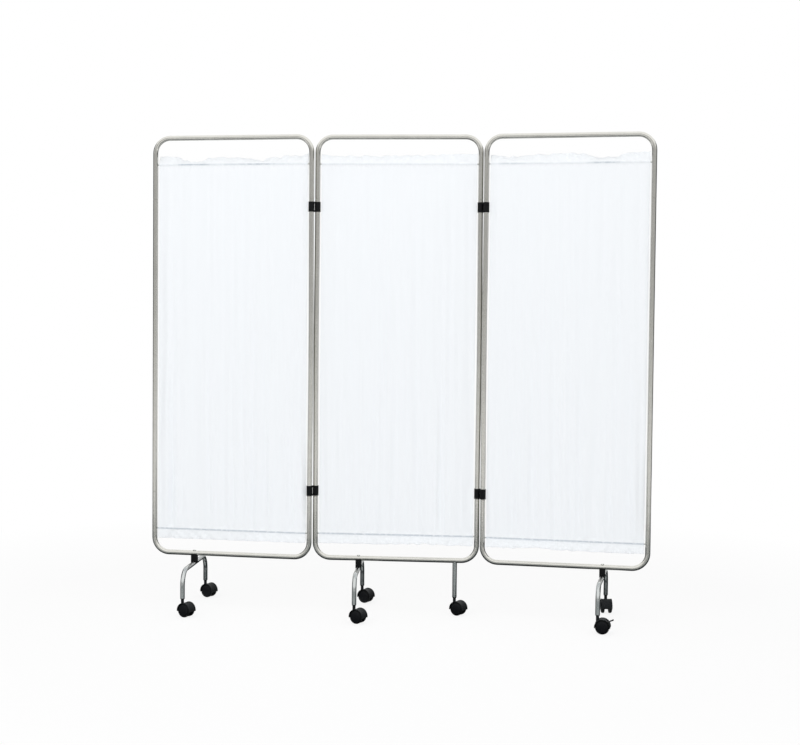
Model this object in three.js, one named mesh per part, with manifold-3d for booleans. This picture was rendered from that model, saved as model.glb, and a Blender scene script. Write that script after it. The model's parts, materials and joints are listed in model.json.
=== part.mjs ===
// Ward privacy screen: three knock-down tube frames with gathered curtains, hinged by clips, on castors.
// Millimetres, +Z up, floor at zero. The middle panel runs along X and the viewer stands at -Y.
import * as THREE from 'three';
import { mergeVertices } from 'three/addons/utils/BufferGeometryUtils.js';
import Module from 'manifold-3d';

const wasm = await Module();
wasm.setup();

const DEGREE = Math.PI / 180;
const FULL_TURN = 2 * Math.PI;

// Gap kept between pieces that touch or run in each other, and how far a cutter runs past its work
const FIT = 0.3;
const OVERRUN = 4;
const WELD_DISTANCE = 0.0005;

// Panel frame, measured between tube axes
const PANEL_PITCH = 582;
const FRAME_HEIGHT = 1509;
const BOTTOM_RAIL_HEIGHT = 195;
const FRAME_TUBE_DIAMETER = 18;
const FRAME_TUBE_WALL = 1.2;
const FRAME_BEND_RADIUS = 55;
const FRAME_SIDES = 12;
const FRAME_BORE_SIDES = 8;
const BEND_STEPS = 4;

// Push-together joints: each end of a bent tube is swaged down and sits inside an upright
const TOP_BOW_DROP = 221;
const BOTTOM_BOW_RISE = 222;
const SWAGE_LENGTH = 40;
const SWAGE_WALL = 1;
const SWAGE_SHOULDER = 2;
const SWAGE_ROOT = 6;
const SWAGE_SIDES = 8;

// Curtain rods and their holes in the bent tubes
const ROD_DIAMETER = 5;
const ROD_SIDES = 8;
const ROD_END_INSET = 4;
const TOP_ROD_DROP = 96;
const BOTTOM_ROD_RISE = 88;

// Curtain: a sheet gathered on both rods, with a ruffle beyond each rod
const CURTAIN_SIDE_GAP = 13;
const CURTAIN_TOP_DROP = 60;
const CURTAIN_HEM_RISE = 53;
const CLOTH_THICKNESS = 1.8;
const SEAM_THICKNESS = 2.4;
const CASING_THICKNESS = 9.4;
const CASING_HALF_HEIGHT = 7;
const CASING_BORE_SIDES = 4;
const FOLD_COUNT = 8;
const STEPS_PER_FOLD = 4;
const FOLD_DEPTH = 7;
const FOLD_RUNOUT = 30;
const RUFFLE_SHARE = 0.7;
const SLOW_FOLD_SHARE = 0.4;
const SLOW_FOLD_PITCH_SHARE = 2.7;

// Hinge clips: a ring round each of two neighbouring uprights, joined by a bar at top and bottom
const CLIP_PITCH = 24;
const CLIP_HEIGHT = 36;
const CLIP_WALL = 1.5;
const CLIP_BAR_HEIGHT = 6;
const CLIP_BAR_DEPTH = 13;
const CLIP_SIDES = 12;
const TOP_CLIP_BELOW_JOINT = 28;
const BOTTOM_CLIP_ABOVE_JOINT = 20;

// Feet: a bow of tube across each panel, held under the bottom rail by a saddle clamp
const LEG_TUBE_DIAMETER = 16;
const LEG_TUBE_WALL = 1.2;
const LEG_SIDES = 10;
const LEG_END_HEIGHT = 63;
const FOOT_DEPTH = 355;
const FOOT_BEND_RADIUS = 52;
const CROSSBAR_DROP = 36;
const LEFT_FOOT_PLACE = 152;
const MIDDLE_FOOT_PLACE = 158;
const RIGHT_FOOT_INSET = 156;
const STRAIGHT_LEG_INSET = 77;
const CLAMP_LENGTH = 20;
const CLAMP_DEPTH = 22;
const CLAMP_TOP_DROP = 3;
const CLAMP_HEIGHT = 33;
const CLAMP_CORNER_RADIUS = 3;
const BOLT_DIAMETER = 6;
const BOLT_HEAD_DIAMETER = 11;
const BOLT_HEAD_HEIGHT = 3.5;
const BOLT_SIDES = 8;
const BOLT_TAIL = 3;
const NUT_WIDTH = 10;
const NUT_HEIGHT = 5;

// Castors: twin wheels on one axle under a hood that swivels on its stem
const WHEEL_DIAMETER = 48.5;
const WHEEL_WIDTH = 13;
const WHEEL_SPACING = 30;
const WHEEL_SIDES = 14;
const WELL_SIDES = 12;
const TREAD_WIDTH = 7.5;
const SHOULDER_DIAMETER = 43;
const SHOULDER_WIDTH = 10;
const CROWN_DIAMETER = 26;
const CROWN_DROP = 0.4;
const AXLE_DIAMETER = 7;
const CASTOR_TRAIL = 17;
const WEB_CLEARANCE = 0.5;
const WEB_RADIUS = 11;
const WHEEL_WELL_CLEARANCE = 1.2;
const HOOD_TOP_HEIGHT = 51.5;
const HOOD_WIDTH = 38;
const HOOD_END_ANGLE = 8 * DEGREE;
const HOOD_ARC_STEPS = 6;
const NECK_DIAMETER = 11;
const STEM_DIAMETER = 10;
const STEM_LENGTH = 44;
const SOCKET_FLANGE_DIAMETER = 16;
const SOCKET_FLANGE_HEIGHT = 3;
const SOCKET_LENGTH = 30;
const SOCKET_SIDES = 8;

// Brake lever, in a notch of one hood
const LEVER_PIVOT_BACK = 14;
const LEVER_PIVOT_RISE = 19.6;
const LEVER_WIDTH = 11;
const LEVER_LENGTH = 24;
const LEVER_THICKNESS = 3;
const LEVER_TILT = 25 * DEGREE;
const LEVER_BARREL_DIAMETER = 6;
const LEVER_PIN_DIAMETER = 3;
const LEVER_PIN_LENGTH = 1.7;
const LEVER_SIDES = 10;

// How the screen stands: yaw of panels and clips, of each foot in its clamp, and of each castor,
// seen from above
const LEFT_PANEL_YAW = -5.1 * DEGREE;
const RIGHT_PANEL_YAW = -6.7 * DEGREE;
const LEFT_FOOT_YAW = 4.7 * DEGREE;
const MIDDLE_FOOT_YAW = 1.7 * DEGREE;
const RIGHT_FOOT_YAW = -1.3 * DEGREE;
const LEFT_CLIP_YAW = 31 * DEGREE;
const RIGHT_CLIP_YAW = -31 * DEGREE;
const LEFT_CASTOR_YAW = -25 * DEGREE;
const MIDDLE_CASTOR_YAW = -25 * DEGREE;
const END_CASTOR_YAW = -29 * DEGREE;
const RIGHT_FRONT_CASTOR_YAW = -8 * DEGREE;
const RIGHT_BACK_CASTOR_YAW = -85 * DEGREE;

const frameRadius = FRAME_TUBE_DIAMETER / 2;
const frameBore = frameRadius - FRAME_TUBE_WALL;
const legRadius = LEG_TUBE_DIAMETER / 2;
const legBore = legRadius - LEG_TUBE_WALL;
const rodRadius = ROD_DIAMETER / 2;
const boltRadius = BOLT_DIAMETER / 2;
const wheelRadius = WHEEL_DIAMETER / 2;
const topRailHeight = BOTTOM_RAIL_HEIGHT + FRAME_HEIGHT;
const topJointHeight = topRailHeight - TOP_BOW_DROP;
const bottomJointHeight = BOTTOM_RAIL_HEIGHT + BOTTOM_BOW_RISE;
const crossbarHeight = BOTTOM_RAIL_HEIGHT - CROSSBAR_DROP;
const rightFootPlace = PANEL_PITCH - RIGHT_FOOT_INSET;
const straightLegPlace = PANEL_PITCH - STRAIGHT_LEG_INSET;

const paint = (color, roughness, metalness) =>
  new THREE.MeshStandardMaterial({ color, roughness, metalness });
const frameSteel = paint('#bdbcb4', 0.35, 0.9);
const legSteel = paint('#9ba1a0', 0.4, 0.9);
const cloth = paint('#f3f6f9', 0.9, 0);
const blackPlastic = paint('#1b1d20', 0.5, 0);
const boltSteel = paint('#c9cac6', 0.3, 0.9);
const greyTyre = paint('#2b2d2e', 0.7, 0);

// Turns a closed geometry into a solid for joining and cutting
function toSolid(geometry) {
  const bare = geometry.clone();
  bare.deleteAttribute('normal');
  bare.deleteAttribute('uv');
  const welded = mergeVertices(bare, WELD_DISTANCE);
  const corners = welded.index.array;
  const triangles = [];
  for (let i = 0; i < corners.length; i += 3) {
    const [a, b, c] = [corners[i], corners[i + 1], corners[i + 2]];
    if (a !== b && b !== c && c !== a) triangles.push(a, b, c);
  }
  return new wasm.Manifold(new wasm.Mesh({
    numProp: 3,
    vertProperties: new Float32Array(welded.attributes.position.array),
    triVerts: new Uint32Array(triangles),
  }));
}

function toGeometry(solid) {
  const mesh = solid.getMesh();
  const geometry = new THREE.BufferGeometry();
  geometry.setAttribute('position', new THREE.BufferAttribute(mesh.vertProperties, 3));
  geometry.setIndex(new THREE.BufferAttribute(mesh.triVerts, 1));
  geometry.computeVertexNormals();
  return geometry;
}

function piece(name, solid, material) {
  const mesh = new THREE.Mesh(toGeometry(solid), material);
  mesh.name = name;
  return mesh;
}

// Points of a regular outline: corners on the radius for a bar, flats on the radius for a bore
function barOutline(radius, sides) {
  const corner = (_, i) => new THREE.Vector2(
    radius * Math.cos((i * FULL_TURN) / sides),
    radius * Math.sin((i * FULL_TURN) / sides),
  );
  return Array.from({ length: sides }, corner);
}

const boreOutline = (radius, sides) => barOutline(radius / Math.cos(Math.PI / sides), sides);

function tubeSection(outer, inner) {
  const section = new THREE.Shape(outer);
  section.holes.push(new THREE.Path(inner));
  return section;
}

const upright = (shape, length) =>
  toSolid(new THREE.ExtrudeGeometry(shape, { depth: length, bevelEnabled: false }));

const roundBar = (radius, length, sides) =>
  upright(new THREE.Shape(barOutline(radius, sides)), length);

const roundCutter = (radius, length, sides) =>
  upright(new THREE.Shape(boreOutline(radius, sides)), length);

// A bar or cutter made along +Z, laid along +X or +Y
const alongX = (solid) => solid.rotate([0, 90, 0]);
const alongY = (solid) => solid.rotate([-90, 0, 0]);

const revolved = (profile, sides, start = 0) => toSolid(new THREE.LatheGeometry(
  profile.map(([radius, height]) => new THREE.Vector2(radius, height)), sides, start));

// A bent tube's centre line: straight runs of one step, and an arc of even steps at each corner
class BentPath extends THREE.Curve {
  constructor(corners, bendRadius, bendSteps) {
    super();
    this.stations = [];
    const addStation = (point, tangent) => this.stations.push({ point, tangent });
    corners.forEach((corner, i) => {
      const into = corner.clone().sub(corners[Math.max(i - 1, 0)]).normalize();
      const out = corners[Math.min(i + 1, corners.length - 1)].clone().sub(corner).normalize();
      if (i === 0) addStation(corner, out);
      else if (i === corners.length - 1) addStation(corner, into);
      else {
        const angle = into.angleTo(out);
        const setback = bendRadius * Math.tan(angle / 2);
        const inward = out.clone().addScaledVector(into, -into.dot(out)).normalize();
        const start = corner.clone().addScaledVector(into, -setback);
        for (let step = 0; step <= bendSteps; step += 1) {
          const turned = (angle * step) / bendSteps;
          const point = start.clone()
            .addScaledVector(into, bendRadius * Math.sin(turned))
            .addScaledVector(inward, bendRadius * (1 - Math.cos(turned)));
          const tangent = into.clone().multiplyScalar(Math.cos(turned))
            .addScaledVector(inward, Math.sin(turned));
          addStation(point, tangent);
        }
      }
    });
    this.steps = this.stations.length - 1;
  }

  station(share) {
    return this.stations[Math.round(share * this.steps)];
  }

  getPointAt(share, target = new THREE.Vector3()) {
    return target.copy(this.station(share).point);
  }

  getTangentAt(share, target = new THREE.Vector3()) {
    return target.copy(this.station(share).tangent);
  }
}

function bentTube(section, corners, bendRadius) {
  const path = new BentPath(corners, bendRadius, BEND_STEPS);
  return toSolid(new THREE.ExtrudeGeometry(section, { steps: path.steps, extrudePath: path }));
}

// Swaged end: a thinner sleeve rooted in the tube's wall, pointing down from its end
function swagedEnd() {
  const root = frameRadius - FRAME_TUBE_WALL / 2;
  const outer = frameBore - FIT;
  const inner = outer - SWAGE_WALL;
  return revolved([
    [inner, SWAGE_ROOT],
    [inner, -SWAGE_LENGTH],
    [outer, -SWAGE_LENGTH],
    [outer, 0],
    [root, SWAGE_SHOULDER],
    [root, SWAGE_ROOT],
    [inner, SWAGE_ROOT],
  ], SWAGE_SIDES).rotate([90, 0, 0]);
}

// One bow of the frame: a rail with both corners bent, ending in the two joints
function frameBow(railHeight, jointHeight, rodHeight) {
  const up = Math.sign(railHeight - jointHeight);
  const endHeight = jointHeight + up * (FIT / 2);
  const section = tubeSection(
    barOutline(frameRadius, FRAME_SIDES), barOutline(frameBore, FRAME_BORE_SIDES));
  const corners = [
    new THREE.Vector3(0, 0, endHeight),
    new THREE.Vector3(0, 0, railHeight),
    new THREE.Vector3(PANEL_PITCH, 0, railHeight),
    new THREE.Vector3(PANEL_PITCH, 0, endHeight),
  ];
  let bow = bentTube(section, corners, FRAME_BEND_RADIUS);
  const end = up > 0 ? swagedEnd() : swagedEnd().rotate([180, 0, 0]);
  bow = bow.add(end.translate([0, 0, endHeight]));
  bow = bow.add(end.translate([PANEL_PITCH, 0, endHeight]));
  const rodHole = alongX(roundCutter(rodRadius + FIT, frameRadius + OVERRUN, ROD_SIDES));
  bow = bow.subtract(rodHole.translate([0, 0, rodHeight]));
  return bow.subtract(rodHole.translate([PANEL_PITCH - frameRadius - OVERRUN, 0, rodHeight]));
}

function frameUpright() {
  const section = tubeSection(
    barOutline(frameRadius, FRAME_SIDES), boreOutline(frameBore, FRAME_SIDES));
  const foot = bottomJointHeight + FIT / 2;
  return upright(section, topJointHeight - bottomJointHeight - FIT).translate([0, 0, foot]);
}

const curtainRod = () => alongX(roundBar(rodRadius, PANEL_PITCH - 2 * ROD_END_INSET, ROD_SIDES));

// Half thickness of the curtain at each height that matters, from the ruffle's edge to the hem
function curtainProfile() {
  const sheet = CLOTH_THICKNESS / 2;
  const seam = SEAM_THICKNESS / 2;
  const casing = CASING_THICKNESS / 2;
  const topRod = topRailHeight - TOP_ROD_DROP;
  const bottomRod = BOTTOM_RAIL_HEIGHT + BOTTOM_ROD_RISE;
  return [
    [topRailHeight - CURTAIN_TOP_DROP, seam],
    [topRod + CASING_HALF_HEIGHT, seam],
    [topRod, casing],
    [topRod - CASING_HALF_HEIGHT, seam],
    [topRod - FOLD_RUNOUT, sheet],
    [bottomRod + FOLD_RUNOUT, sheet],
    [bottomRod + CASING_HALF_HEIGHT, seam],
    [bottomRod, casing],
    [bottomRod - CASING_HALF_HEIGHT, seam],
    [BOTTOM_RAIL_HEIGHT + CURTAIN_HEM_RISE, seam],
  ];
}

// The folds are full between the rods, vanish at the casings and open again in the ruffles
function foldShare(height) {
  const topRod = topRailHeight - TOP_ROD_DROP;
  const bottomRod = BOTTOM_RAIL_HEIGHT + BOTTOM_ROD_RISE;
  const beyond = Math.max(height - topRod, bottomRod - height);
  const edge = beyond > 0 ? TOP_ROD_DROP - CURTAIN_TOP_DROP : FOLD_RUNOUT;
  const full = beyond > 0 ? RUFFLE_SHARE : 1;
  const open = (Math.abs(beyond) - CASING_HALF_HEIGHT) / (edge - CASING_HALF_HEIGHT);
  return full * THREE.MathUtils.clamp(open, 0, 1);
}

function foldOffset(place, width) {
  const pitch = width / FOLD_COUNT;
  const quick = Math.sin((FULL_TURN * place) / pitch);
  const slow = Math.sin((FULL_TURN * place) / (pitch * SLOW_FOLD_PITCH_SHARE));
  return FOLD_DEPTH * (quick + SLOW_FOLD_SHARE * slow);
}

function curtain() {
  const width = PANEL_PITCH - 2 * CURTAIN_SIDE_GAP;
  const profile = curtainProfile();
  const back = profile.map(([height, half]) => new THREE.Vector2(-half, height));
  const front = profile.map(([height, half]) => new THREE.Vector2(half, height)).reverse();
  const section = new THREE.Shape([...back, ...front]);
  for (const rod of [topRailHeight - TOP_ROD_DROP, BOTTOM_RAIL_HEIGHT + BOTTOM_ROD_RISE]) {
    const tunnel = boreOutline(rodRadius + FIT, CASING_BORE_SIDES);
    section.holes.push(new THREE.Path(tunnel.map((p) => new THREE.Vector2(p.y, p.x + rod))));
  }
  const steps = FOLD_COUNT * STEPS_PER_FOLD;
  const sheet = new THREE.ExtrudeGeometry(section, { depth: width, steps, bevelEnabled: false });
  const places = sheet.attributes.position;
  for (let i = 0; i < places.count; i += 1) {
    const along = places.getZ(i);
    const height = places.getY(i);
    const across = places.getX(i) + foldOffset(along, width) * foldShare(height);
    places.setXYZ(i, along, across, height);
  }
  return toSolid(sheet).translate([CURTAIN_SIDE_GAP, 0, 0]);
}

// The clip hangs from the axis it turns on, with its second ring along +X
function hingeClip() {
  const ring = frameRadius + FIT + CLIP_WALL;
  const neck = [CLIP_PITCH, 0, 0];
  let clip = roundBar(ring, CLIP_HEIGHT, CLIP_SIDES);
  clip = clip.add(clip.translate(neck));
  const bar = toSolid(new THREE.BoxGeometry(CLIP_PITCH, CLIP_BAR_DEPTH, CLIP_BAR_HEIGHT));
  for (const middle of [CLIP_BAR_HEIGHT / 2, CLIP_HEIGHT - CLIP_BAR_HEIGHT / 2]) {
    clip = clip.add(bar.translate([CLIP_PITCH / 2, 0, middle]));
  }
  const bore = roundCutter(frameRadius + FIT, CLIP_HEIGHT + 2 * OVERRUN, CLIP_SIDES)
    .translate([0, 0, -OVERRUN]);
  return clip.subtract(bore).subtract(bore.translate(neck)).translate([0, 0, -CLIP_HEIGHT / 2]);
}

// Foot bow, across the panel, with the panel's bottom rail over its crossbar
function footBow() {
  const section = tubeSection(
    barOutline(legRadius, LEG_SIDES), boreOutline(legBore, LEG_SIDES));
  const reach = FOOT_DEPTH / 2;
  const bow = bentTube(section, [
    new THREE.Vector3(0, -reach, LEG_END_HEIGHT),
    new THREE.Vector3(0, -reach, crossbarHeight),
    new THREE.Vector3(0, reach, crossbarHeight),
    new THREE.Vector3(0, reach, LEG_END_HEIGHT),
  ], FOOT_BEND_RADIUS);
  return bow.subtract(boltHole(crossbarHeight));
}

// Clearance hole for the clamp bolt, through the rail, the clamp and the top of the crossbar
function boltHole(low) {
  const high = BOTTOM_RAIL_HEIGHT + frameRadius + OVERRUN;
  return roundCutter(boltRadius + FIT, high - low, BOLT_SIDES).translate([0, 0, low]);
}

const railCutter = () =>
  alongX(roundCutter(frameRadius + FIT, CLAMP_LENGTH + 2 * OVERRUN, FRAME_SIDES))
    .translate([-CLAMP_LENGTH / 2 - OVERRUN, 0, BOTTOM_RAIL_HEIGHT]);

function footClamp(yaw) {
  const x = CLAMP_LENGTH / 2;
  const y = CLAMP_DEPTH / 2;
  const r = CLAMP_CORNER_RADIUS;
  const plan = new THREE.Shape();
  plan.moveTo(-x, -y + r);
  for (const [cx, cy, turn] of [[-1, -1, 2], [1, -1, 3], [1, 1, 0], [-1, 1, 1]]) {
    const start = (turn * Math.PI) / 2;
    plan.absarc(cx * (x - r), cy * (y - r), r, start, start + Math.PI / 2);
  }
  const low = BOTTOM_RAIL_HEIGHT - CLAMP_TOP_DROP - CLAMP_HEIGHT;
  const block = toSolid(new THREE.ExtrudeGeometry(
    plan, { depth: CLAMP_HEIGHT, bevelEnabled: false, curveSegments: 2 }));
  const seat = alongY(roundCutter(legRadius + FIT, CLAMP_DEPTH + 2 * OVERRUN, FRAME_SIDES))
    .translate([0, -CLAMP_DEPTH / 2 - OVERRUN, crossbarHeight]);
  return block.translate([0, 0, low])
    .subtract(railCutter())
    .subtract(seat.rotate([0, 0, yaw / DEGREE]))
    .subtract(boltHole(low - OVERRUN));
}

// The nut sits inside the crossbar, as high in its bore as its corners let it
function nutSeat() {
  const corner = NUT_WIDTH / 2 / Math.cos(Math.PI / 6);
  return crossbarHeight + Math.sqrt(legBore ** 2 - corner ** 2) - FIT - NUT_HEIGHT;
}

function clampBolt() {
  const seat = BOTTOM_RAIL_HEIGHT + frameRadius + FIT;
  const tail = nutSeat() - BOLT_TAIL;
  const head = BOLT_HEAD_DIAMETER / 2;
  return revolved([
    [0, tail],
    [boltRadius, tail],
    [boltRadius, seat],
    [head, seat],
    [head, seat + BOLT_HEAD_HEIGHT / 2],
    [head / 2, seat + BOLT_HEAD_HEIGHT],
    [0, seat + BOLT_HEAD_HEIGHT],
  ], BOLT_SIDES).rotate([90, 0, 0]);
}

function clampNut() {
  const hexagon = tubeSection(boreOutline(NUT_WIDTH / 2, 6), boreOutline(boltRadius + FIT, BOLT_SIDES));
  return upright(hexagon, NUT_HEIGHT).translate([0, 0, nutSeat()]);
}

// Straight leg, its top coped to the round underside of the bottom rail
function straightLeg() {
  const section = tubeSection(
    barOutline(legRadius, LEG_SIDES), boreOutline(legBore, LEG_SIDES));
  const leg = upright(section, BOTTOM_RAIL_HEIGHT - LEG_END_HEIGHT);
  return leg.translate([0, 0, LEG_END_HEIGHT]).subtract(railCutter());
}

function castorSocket() {
  const bore = (STEM_DIAMETER / 2 + FIT) / Math.cos(Math.PI / SOCKET_SIDES);
  const plug = legBore - FIT;
  const flange = SOCKET_FLANGE_DIAMETER / 2;
  const seat = LEG_END_HEIGHT - FIT;
  return revolved([
    [bore, seat - SOCKET_FLANGE_HEIGHT],
    [flange, seat - SOCKET_FLANGE_HEIGHT],
    [flange, seat],
    [plug, seat],
    [plug, seat + SOCKET_LENGTH],
    [bore, seat + SOCKET_LENGTH],
    [bore, seat - SOCKET_FLANGE_HEIGHT],
  ], SOCKET_SIDES).rotate([90, 0, 0]);
}

// Both wheels and their axle, revolved about Y, with a flat of each tread facing down
function castorWheels() {
  const flat = Math.cos(Math.PI / WHEEL_SIDES);
  const tread = wheelRadius / flat;
  const inside = (WHEEL_SPACING - WHEEL_WIDTH) / 2;
  const outside = inside + WHEEL_WIDTH;
  const half = [
    [AXLE_DIAMETER / 2, inside],
    [tread, inside],
    [tread, inside + TREAD_WIDTH],
    [SHOULDER_DIAMETER / 2, inside + SHOULDER_WIDTH],
    [CROWN_DIAMETER / 2, outside - CROWN_DROP],
    [0, outside],
  ];
  const other = half.map(([radius, place]) => [radius, -place]).reverse();
  return revolved([...other, ...half], WHEEL_SIDES, Math.PI / WHEEL_SIDES);
}

// Side outline of the hood, in X and Z, round the axle, with the stem on the Z axis in front of it
function hoodOutline() {
  const outline = new THREE.Shape();
  const end = HOOD_END_ANGLE;
  outline.absarc(
    CASTOR_TRAIL, wheelRadius, HOOD_TOP_HEIGHT - wheelRadius, Math.PI + end, -end, true);
  outline.absarc(CASTOR_TRAIL, wheelRadius, WEB_RADIUS, -end, end - Math.PI, true);
  return outline;
}

function castorBody(hasBrake) {
  const inside = (WHEEL_SPACING - WHEEL_WIDTH) / 2;
  const axle = [CASTOR_TRAIL, 0, wheelRadius];
  let body = toSolid(new THREE.ExtrudeGeometry(
    hoodOutline(), { depth: HOOD_WIDTH, bevelEnabled: false, curveSegments: HOOD_ARC_STEPS }));
  body = body.rotate([90, 0, 0]).translate([0, HOOD_WIDTH / 2, 0]);
  const wellRadius = wheelRadius + WHEEL_WELL_CLEARANCE;
  const well = alongY(roundCutter(wellRadius, WHEEL_WIDTH + OVERRUN, WELL_SIDES)).translate(axle);
  const wellStart = inside - WEB_CLEARANCE;
  body = body.subtract(well.translate([0, wellStart, 0]));
  body = body.subtract(well.translate([0, -wellStart - WHEEL_WIDTH - OVERRUN, 0]));
  const axleBore = alongY(roundCutter(AXLE_DIAMETER / 2 + FIT, HOOD_WIDTH, BOLT_SIDES));
  body = body.subtract(axleBore.translate([CASTOR_TRAIL, -HOOD_WIDTH / 2, wheelRadius]));
  const neckStart = wheelRadius + WEB_RADIUS;
  const neckEnd = LEG_END_HEIGHT - 2 * FIT - SOCKET_FLANGE_HEIGHT;
  const neck = roundBar(NECK_DIAMETER / 2, neckEnd - neckStart, LEG_SIDES);
  body = body.add(neck.translate([0, 0, neckStart]));
  const stem = roundBar(STEM_DIAMETER / 2, STEM_LENGTH + OVERRUN, LEG_SIDES);
  body = body.add(stem.translate([0, 0, HOOD_TOP_HEIGHT - OVERRUN]));
  return hasBrake ? body.subtract(leverNotch()) : body;
}

// Room for the lever in the hood: a slot open to the back, and a hole in each cheek for its pins
function leverNotch() {
  const reach = LEVER_LENGTH + OVERRUN;
  const below = LEVER_BARREL_DIAMETER / 2 + FIT;
  const slotWidth = LEVER_WIDTH + 2 * FIT;
  const pivot = [CASTOR_TRAIL + LEVER_PIVOT_BACK, 0, wheelRadius + LEVER_PIVOT_RISE];
  const slot = toSolid(new THREE.BoxGeometry(reach + below, slotWidth, reach + below));
  const pinHole = roundCutter(LEVER_PIN_DIAMETER / 2 + FIT, slotWidth + 2 * LEVER_WIDTH, LEVER_SIDES);
  return slot.translate([(reach - below) / 2, 0, (reach - below) / 2])
    .add(alongY(pinHole).translate([0, -slotWidth / 2 - LEVER_WIDTH, 0]))
    .translate(pivot);
}

// The lever turns on the Y axis through its origin and points back and up when the brake is off
function brakeLever() {
  const barrel = LEVER_BARREL_DIAMETER / 2;
  const pin = LEVER_PIN_DIAMETER / 2;
  const half = LEVER_WIDTH / 2;
  const turned = revolved([
    [0, -half - LEVER_PIN_LENGTH],
    [pin, -half - LEVER_PIN_LENGTH],
    [pin, -half],
    [barrel, -half],
    [barrel, half],
    [pin, half],
    [pin, half + LEVER_PIN_LENGTH],
    [0, half + LEVER_PIN_LENGTH],
  ], LEVER_SIDES);
  const tread = toSolid(new THREE.BoxGeometry(LEVER_LENGTH, LEVER_WIDTH, LEVER_THICKNESS));
  const tilt = -LEVER_TILT / DEGREE;
  return turned.add(tread.translate([LEVER_LENGTH / 2, 0, 0]).rotate([0, tilt, 0]));
}

// A castor under one leg: the socket stays with the leg, the rest swivels as it is yawed
function castor(name, place, yaw, hasBrake = false) {
  const leg = new THREE.Group();
  leg.position.copy(place);
  leg.add(piece(`${name}_castor_socket`, castorSocket(), blackPlastic));
  const swivel = new THREE.Group();
  swivel.rotation.z = yaw;
  swivel.add(piece(`${name}_castor_body`, castorBody(hasBrake), blackPlastic));
  const wheels = piece(`${name}_castor_wheels`, castorWheels(), greyTyre);
  wheels.position.set(CASTOR_TRAIL, 0, wheelRadius);
  swivel.add(wheels);
  if (hasBrake) {
    const lever = piece(`${name}_brake_lever`, brakeLever(), blackPlastic);
    lever.position.set(CASTOR_TRAIL + LEVER_PIVOT_BACK, 0, wheelRadius + LEVER_PIVOT_RISE);
    swivel.add(lever);
  }
  leg.add(swivel);
  return leg;
}

// One panel: frame, rods, curtain and foot. Its left upright stands on the group's own axis
function panel(name, footPlace, footYaw) {
  const group = new THREE.Group();
  const hole = boltHole(crossbarHeight).translate([footPlace, 0, 0]);
  const bottomRod = BOTTOM_RAIL_HEIGHT + BOTTOM_ROD_RISE;
  const topRod = topRailHeight - TOP_ROD_DROP;
  const bottomBow = frameBow(BOTTOM_RAIL_HEIGHT, bottomJointHeight, bottomRod).subtract(hole);
  group.add(piece(`${name}_top_bow`, frameBow(topRailHeight, topJointHeight, topRod), frameSteel));
  group.add(piece(`${name}_bottom_bow`, bottomBow, frameSteel));
  for (const [side, place] of [['left', 0], ['right', PANEL_PITCH]]) {
    const tube = piece(`${name}_${side}_upright`, frameUpright(), frameSteel);
    tube.position.x = place;
    group.add(tube);
  }
  for (const [level, height] of [['top', topRod], ['bottom', bottomRod]]) {
    const rod = piece(`${name}_${level}_rod`, curtainRod(), boltSteel);
    rod.position.set(ROD_END_INSET, 0, height);
    group.add(rod);
  }
  group.add(piece(`${name}_curtain`, curtain(), cloth));
  const foot = new THREE.Group();
  foot.position.x = footPlace;
  foot.add(piece(`${name}_foot_clamp`, footClamp(footYaw), blackPlastic));
  const bow = piece(`${name}_foot_bow`, footBow(), legSteel);
  bow.rotation.z = footYaw;
  foot.add(bow);
  foot.add(piece(`${name}_foot_bolt`, clampBolt(), boltSteel));
  foot.add(piece(`${name}_foot_nut`, clampNut(), boltSteel));
  group.add(foot);
  return group;
}

function clipPair(name) {
  const group = new THREE.Group();
  const heights = {
    upper: topJointHeight - TOP_CLIP_BELOW_JOINT,
    lower: bottomJointHeight + BOTTOM_CLIP_ABOVE_JOINT,
  };
  for (const [level, height] of Object.entries(heights)) {
    const clip = piece(`${name}_${level}_clip`, hingeClip(), blackPlastic);
    clip.position.z = height;
    group.add(clip);
  }
  return group;
}

// Where the two legs of a foot stand, along and across its panel
function legPlaces(footPlace, footYaw) {
  const up = new THREE.Vector3(0, 0, 1);
  return [-FOOT_DEPTH / 2, FOOT_DEPTH / 2].map((across) =>
    new THREE.Vector3(0, across, 0).applyAxisAngle(up, footYaw).add(alongPanel(footPlace)));
}

const screen = new THREE.Group();
const alongPanel = (place) => new THREE.Vector3(place, 0, 0);

const middle = panel('middle', MIDDLE_FOOT_PLACE, MIDDLE_FOOT_YAW);
const middleLegs = legPlaces(MIDDLE_FOOT_PLACE, MIDDLE_FOOT_YAW);
const leg = piece('middle_straight_leg', straightLeg(), legSteel);
leg.position.x = straightLegPlace;
middle.add(leg);
middle.add(castor('middle_front', middleLegs[0], MIDDLE_CASTOR_YAW));
middle.add(castor('middle_back', middleLegs[1], MIDDLE_CASTOR_YAW));
middle.add(castor('middle_end', alongPanel(straightLegPlace), END_CASTOR_YAW));
screen.add(middle);

// The left clips reach from the middle panel's left upright to the left panel's right upright
const leftClips = clipPair('left');
leftClips.rotation.z = Math.PI + LEFT_CLIP_YAW;
screen.add(leftClips);
const leftHinge = new THREE.Vector3(CLIP_PITCH, 0, 0).applyEuler(leftClips.rotation);
const left = panel('left', LEFT_FOOT_PLACE, LEFT_FOOT_YAW);
left.rotation.z = LEFT_PANEL_YAW;
left.position.copy(leftHinge).sub(alongPanel(PANEL_PITCH).applyEuler(left.rotation));
const leftLegs = legPlaces(LEFT_FOOT_PLACE, LEFT_FOOT_YAW);
const leftYaw = LEFT_CASTOR_YAW - LEFT_PANEL_YAW;
left.add(castor('left_front', leftLegs[0], leftYaw));
left.add(castor('left_back', leftLegs[1], leftYaw));
screen.add(left);

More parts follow.
